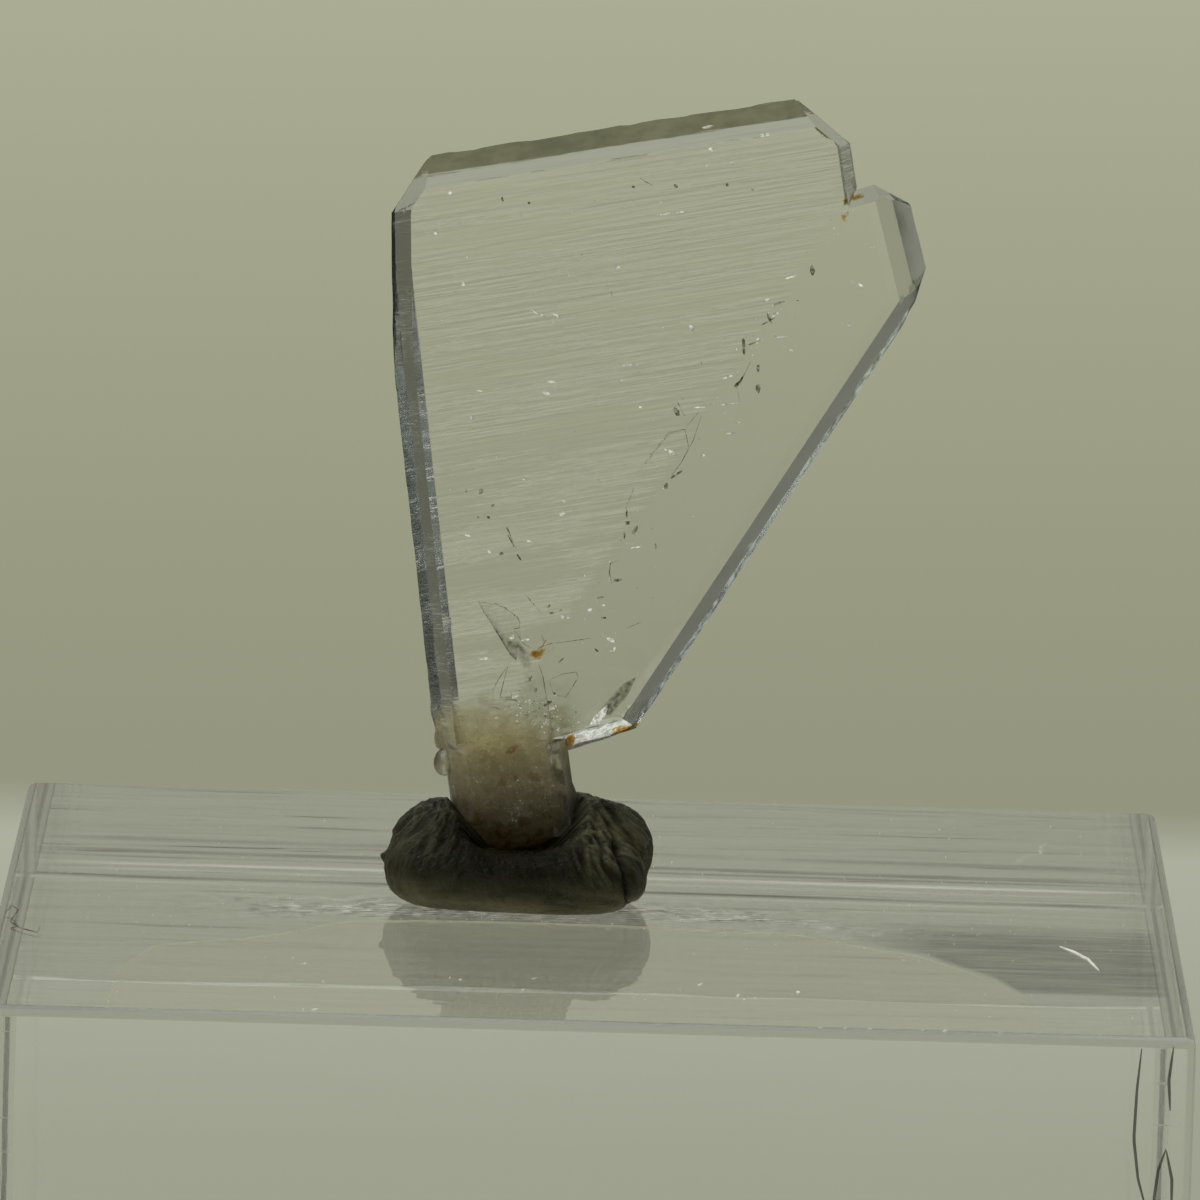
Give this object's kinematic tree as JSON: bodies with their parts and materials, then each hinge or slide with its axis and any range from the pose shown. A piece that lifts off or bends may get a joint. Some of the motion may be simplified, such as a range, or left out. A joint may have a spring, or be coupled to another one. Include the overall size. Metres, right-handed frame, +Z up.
{
  "type": "japan law twin quartz specimen",
  "caption": "Clear flat Japan law twin quartz crystal with a cloudy root, stood in dark mounting putty on a square clear acrylic display block.",
  "frame": {"origin": "centre of the display block's underside, where it rests on a shelf", "axes": "+Z up, the longest extent; the crystal's broad front face looks towards -Y, with +X to its right"},
  "size_m": [0.0508, 0.0508, 0.0601],
  "materials": {
    "quartz": "natural polished growth faces, cloudy brown at the root",
    "putty": "kneaded, finely wrinkled",
    "acrylic": "polished"
  },
  "bodies": {
    "root": {"twin_crystal": "quartz", "mounting_putty": "putty", "acrylic_block": "acrylic"}
  },
  "joints": []
}
